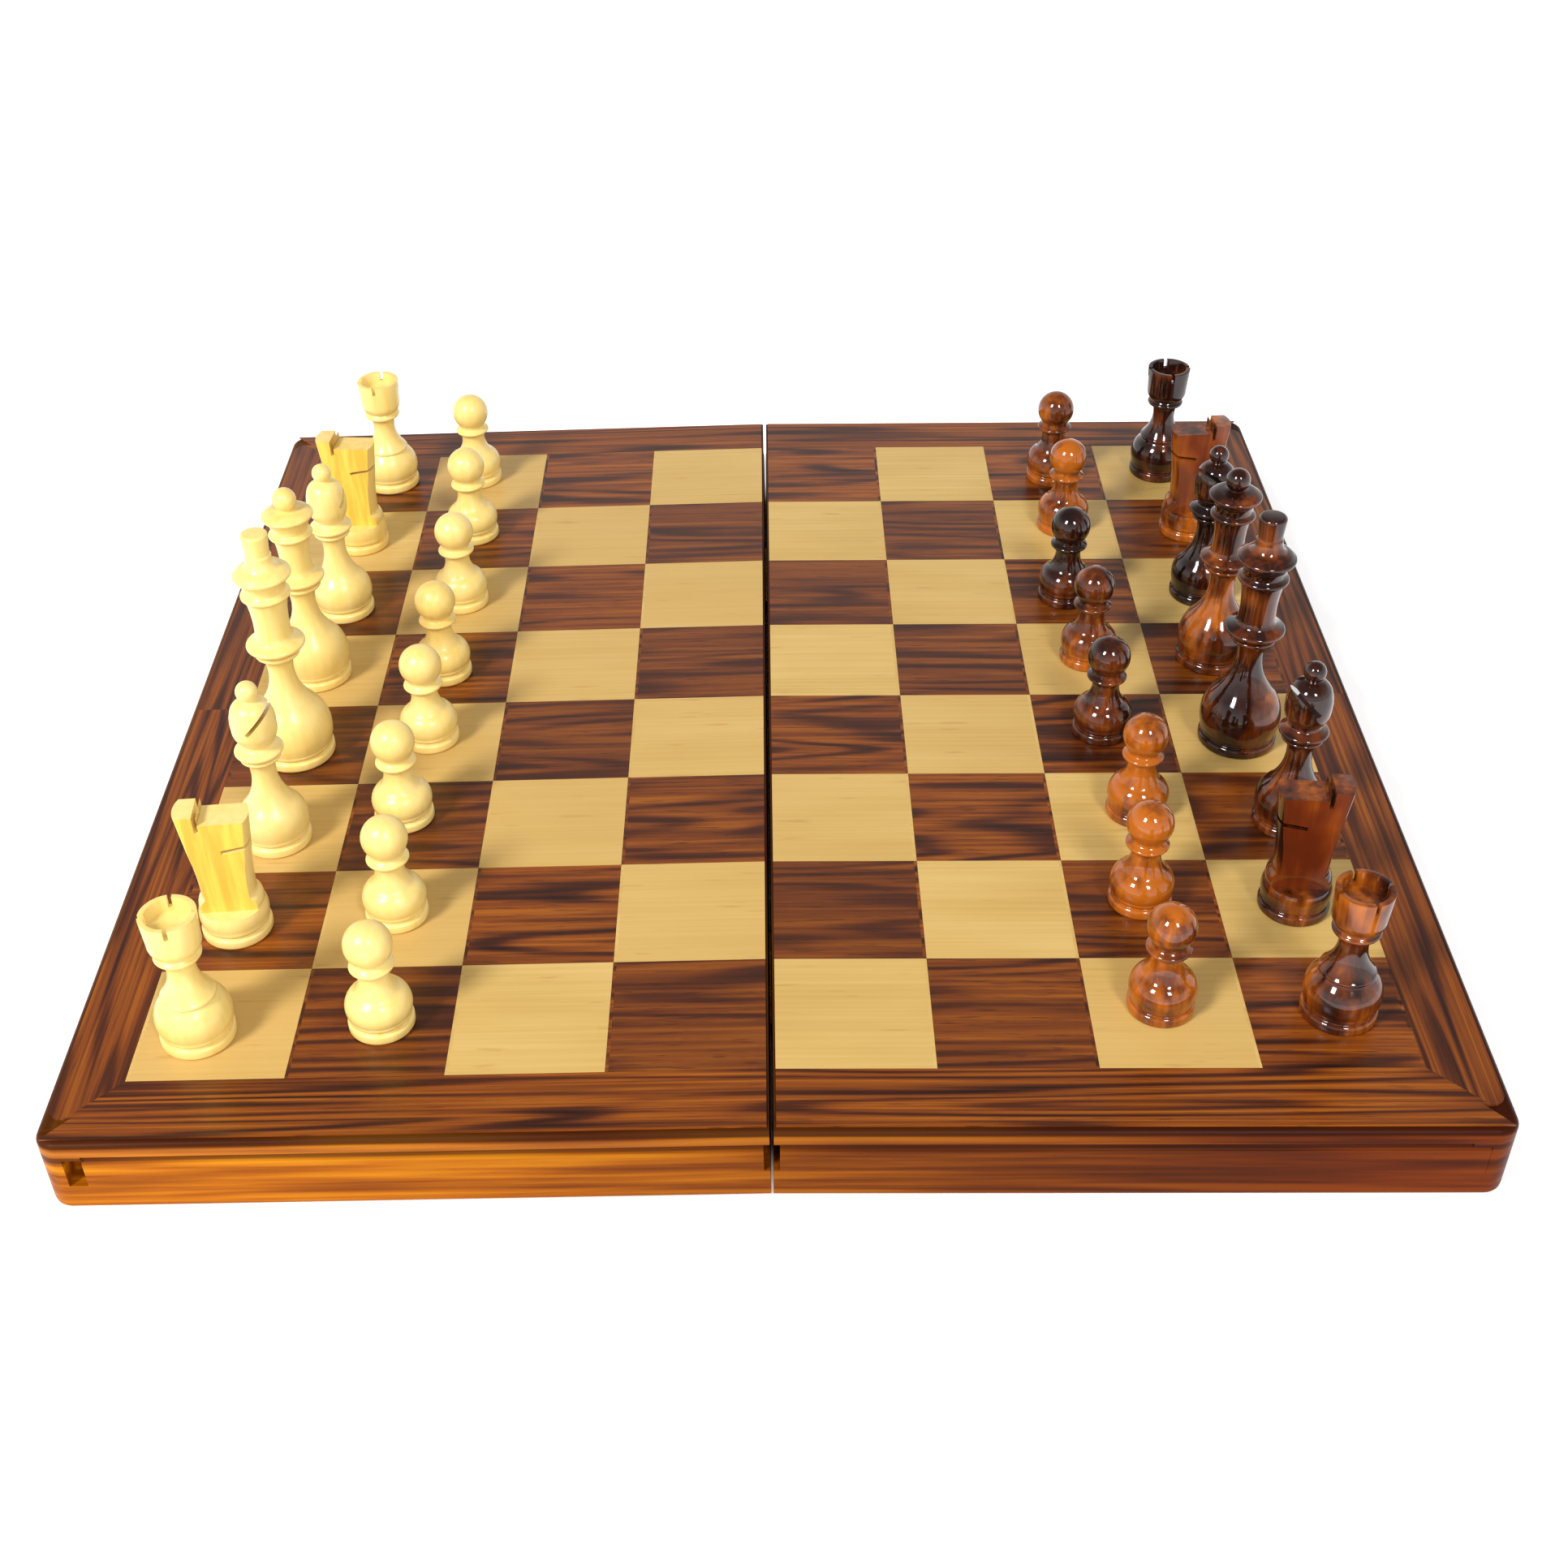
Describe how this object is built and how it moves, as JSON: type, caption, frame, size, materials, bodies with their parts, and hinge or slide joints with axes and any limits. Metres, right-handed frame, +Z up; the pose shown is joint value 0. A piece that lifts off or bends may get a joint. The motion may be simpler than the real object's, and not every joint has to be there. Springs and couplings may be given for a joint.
{
  "type": "chess set with folding board",
  "caption": "Wooden chess set: turned men on a two-part board that folds on butt hinges into a felt-lined box for them.",
  "frame": {"origin": "on the table, under the middle of the hinge line, with the board open", "axes": "+X from the light men towards the dark men, +Y along the hinge line away from the front edge, +Z up"},
  "size_m": [0.3772, 0.38, 0.1045],
  "materials": {
    "light_man_wood": "satin lacquer on pale boxwood",
    "dark_man_wood": "gloss lacquer on red-brown stained wood",
    "rail_wood": "satin lacquer on orange-brown hardwood",
    "panel_ply": "bare plywood",
    "light_veneer": "satin lacquer on maple veneer",
    "dark_veneer": "satin lacquer on streaked rosewood veneer",
    "felt": "short green pile",
    "hinge_brass": "polished",
    "magnet_nickel": "nickel plate"
  },
  "bodies": {
    "left_half": {"left_back_rail": "rail_wood", "left_border_veneer": "dark_veneer", "left_dark_squares": "dark_veneer", "left_felt_lining": "felt", "left_front_rail": "rail_wood", "left_hinge_leaves": "hinge_brass", "left_hinge_screws": "hinge_brass", "left_joint_rail": "rail_wood", "left_light_squares": "light_veneer", "left_magnets": "magnet_nickel", "left_outer_rail": "rail_wood", "left_top_panel": "panel_ply", "hinge_pins": "hinge_brass"},
    "right_half": {"right_back_rail": "rail_wood", "right_border_veneer": "dark_veneer", "right_dark_squares": "dark_veneer", "right_felt_lining": "felt", "right_front_rail": "rail_wood", "right_hinge_leaves": "hinge_brass", "right_hinge_screws": "hinge_brass", "right_joint_rail": "rail_wood", "right_light_squares": "light_veneer", "right_magnets": "magnet_nickel", "right_outer_rail": "rail_wood", "right_top_panel": "panel_ply"},
    "light_king": {"light_king": "light_man_wood"},
    "light_queen": {"light_queen": "light_man_wood"},
    "light_bishop_1": {"light_bishop_1": "light_man_wood"},
    "light_bishop_2": {"light_bishop_2": "light_man_wood"},
    "light_knight_1": {"light_knight_1": "light_man_wood"},
    "light_knight_2": {"light_knight_2": "light_man_wood"},
    "light_rook_1": {"light_rook_1": "light_man_wood"},
    "light_rook_2": {"light_rook_2": "light_man_wood"},
    "light_pawn_1": {"light_pawn_1": "light_man_wood"},
    "light_pawn_2": {"light_pawn_2": "light_man_wood"},
    "light_pawn_3": {"light_pawn_3": "light_man_wood"},
    "light_pawn_4": {"light_pawn_4": "light_man_wood"},
    "light_pawn_5": {"light_pawn_5": "light_man_wood"},
    "light_pawn_6": {"light_pawn_6": "light_man_wood"},
    "light_pawn_7": {"light_pawn_7": "light_man_wood"},
    "light_pawn_8": {"light_pawn_8": "light_man_wood"},
    "dark_king": {"dark_king": "dark_man_wood"},
    "dark_queen": {"dark_queen": "dark_man_wood"},
    "dark_bishop_1": {"dark_bishop_1": "dark_man_wood"},
    "dark_bishop_2": {"dark_bishop_2": "dark_man_wood"},
    "dark_knight_1": {"dark_knight_1": "dark_man_wood"},
    "dark_knight_2": {"dark_knight_2": "dark_man_wood"},
    "dark_rook_1": {"dark_rook_1": "dark_man_wood"},
    "dark_rook_2": {"dark_rook_2": "dark_man_wood"},
    "dark_pawn_1": {"dark_pawn_1": "dark_man_wood"},
    "dark_pawn_2": {"dark_pawn_2": "dark_man_wood"},
    "dark_pawn_3": {"dark_pawn_3": "dark_man_wood"},
    "dark_pawn_4": {"dark_pawn_4": "dark_man_wood"},
    "dark_pawn_5": {"dark_pawn_5": "dark_man_wood"},
    "dark_pawn_6": {"dark_pawn_6": "dark_man_wood"},
    "dark_pawn_7": {"dark_pawn_7": "dark_man_wood"},
    "dark_pawn_8": {"dark_pawn_8": "dark_man_wood"}
  },
  "joints": [
    {"name": "board_fold", "type": "hinge", "parent": "left_half", "child": "right_half", "pos_m": [0, 0, 0.00225], "axis": [0, 1, 0], "range_deg": [-1.44, 178.56]},
    {"name": "lift_light_king", "type": "slide", "parent": "left_half", "child": "light_king", "axis": [-0.0126, 0, 0.9999], "range_m": [0, 0.1]},
    {"name": "lift_light_queen", "type": "slide", "parent": "left_half", "child": "light_queen", "axis": [-0.0126, 0, 0.9999], "range_m": [0, 0.1]},
    {"name": "lift_light_bishop_1", "type": "slide", "parent": "left_half", "child": "light_bishop_1", "axis": [-0.0126, 0, 0.9999], "range_m": [0, 0.1]},
    {"name": "lift_light_bishop_2", "type": "slide", "parent": "left_half", "child": "light_bishop_2", "axis": [-0.0126, 0, 0.9999], "range_m": [0, 0.1]},
    {"name": "lift_light_knight_1", "type": "slide", "parent": "left_half", "child": "light_knight_1", "axis": [-0.0126, 0, 0.9999], "range_m": [0, 0.1]},
    {"name": "lift_light_knight_2", "type": "slide", "parent": "left_half", "child": "light_knight_2", "axis": [-0.0126, 0, 0.9999], "range_m": [0, 0.1]},
    {"name": "lift_light_rook_1", "type": "slide", "parent": "left_half", "child": "light_rook_1", "axis": [-0.0126, 0, 0.9999], "range_m": [0, 0.1]},
    {"name": "lift_light_rook_2", "type": "slide", "parent": "left_half", "child": "light_rook_2", "axis": [-0.0126, 0, 0.9999], "range_m": [0, 0.1]},
    {"name": "lift_light_pawn_1", "type": "slide", "parent": "left_half", "child": "light_pawn_1", "axis": [-0.0126, 0, 0.9999], "range_m": [0, 0.1]},
    {"name": "lift_light_pawn_2", "type": "slide", "parent": "left_half", "child": "light_pawn_2", "axis": [-0.0126, 0, 0.9999], "range_m": [0, 0.1]},
    {"name": "lift_light_pawn_3", "type": "slide", "parent": "left_half", "child": "light_pawn_3", "axis": [-0.0126, 0, 0.9999], "range_m": [0, 0.1]},
    {"name": "lift_light_pawn_4", "type": "slide", "parent": "left_half", "child": "light_pawn_4", "axis": [-0.0126, 0, 0.9999], "range_m": [0, 0.1]},
    {"name": "lift_light_pawn_5", "type": "slide", "parent": "left_half", "child": "light_pawn_5", "axis": [-0.0126, 0, 0.9999], "range_m": [0, 0.1]},
    {"name": "lift_light_pawn_6", "type": "slide", "parent": "left_half", "child": "light_pawn_6", "axis": [-0.0126, 0, 0.9999], "range_m": [0, 0.1]},
    {"name": "lift_light_pawn_7", "type": "slide", "parent": "left_half", "child": "light_pawn_7", "axis": [-0.0126, 0, 0.9999], "range_m": [0, 0.1]},
    {"name": "lift_light_pawn_8", "type": "slide", "parent": "left_half", "child": "light_pawn_8", "axis": [-0.0126, 0, 0.9999], "range_m": [0, 0.1]},
    {"name": "lift_dark_king", "type": "slide", "parent": "right_half", "child": "dark_king", "axis": [0.0126, 0, 0.9999], "range_m": [0, 0.1]},
    {"name": "lift_dark_queen", "type": "slide", "parent": "right_half", "child": "dark_queen", "axis": [0.0126, 0, 0.9999], "range_m": [0, 0.1]},
    {"name": "lift_dark_bishop_1", "type": "slide", "parent": "right_half", "child": "dark_bishop_1", "axis": [0.0126, 0, 0.9999], "range_m": [0, 0.1]},
    {"name": "lift_dark_bishop_2", "type": "slide", "parent": "right_half", "child": "dark_bishop_2", "axis": [0.0126, 0, 0.9999], "range_m": [0, 0.1]},
    {"name": "lift_dark_knight_1", "type": "slide", "parent": "right_half", "child": "dark_knight_1", "axis": [0.0126, 0, 0.9999], "range_m": [0, 0.1]},
    {"name": "lift_dark_knight_2", "type": "slide", "parent": "right_half", "child": "dark_knight_2", "axis": [0.0126, 0, 0.9999], "range_m": [0, 0.1]},
    {"name": "lift_dark_rook_1", "type": "slide", "parent": "right_half", "child": "dark_rook_1", "axis": [0.0126, 0, 0.9999], "range_m": [0, 0.1]},
    {"name": "lift_dark_rook_2", "type": "slide", "parent": "right_half", "child": "dark_rook_2", "axis": [0.0126, 0, 0.9999], "range_m": [0, 0.1]},
    {"name": "lift_dark_pawn_1", "type": "slide", "parent": "right_half", "child": "dark_pawn_1", "axis": [0.0126, 0, 0.9999], "range_m": [0, 0.1]},
    {"name": "lift_dark_pawn_2", "type": "slide", "parent": "right_half", "child": "dark_pawn_2", "axis": [0.0126, 0, 0.9999], "range_m": [0, 0.1]},
    {"name": "lift_dark_pawn_3", "type": "slide", "parent": "right_half", "child": "dark_pawn_3", "axis": [0.0126, 0, 0.9999], "range_m": [0, 0.1]},
    {"name": "lift_dark_pawn_4", "type": "slide", "parent": "right_half", "child": "dark_pawn_4", "axis": [0.0126, 0, 0.9999], "range_m": [0, 0.1]},
    {"name": "lift_dark_pawn_5", "type": "slide", "parent": "right_half", "child": "dark_pawn_5", "axis": [0.0126, 0, 0.9999], "range_m": [0, 0.1]},
    {"name": "lift_dark_pawn_6", "type": "slide", "parent": "right_half", "child": "dark_pawn_6", "axis": [0.0126, 0, 0.9999], "range_m": [0, 0.1]},
    {"name": "lift_dark_pawn_7", "type": "slide", "parent": "right_half", "child": "dark_pawn_7", "axis": [0.0126, 0, 0.9999], "range_m": [0, 0.1]},
    {"name": "lift_dark_pawn_8", "type": "slide", "parent": "right_half", "child": "dark_pawn_8", "axis": [0.0126, 0, 0.9999], "range_m": [0, 0.1]}
  ]
}
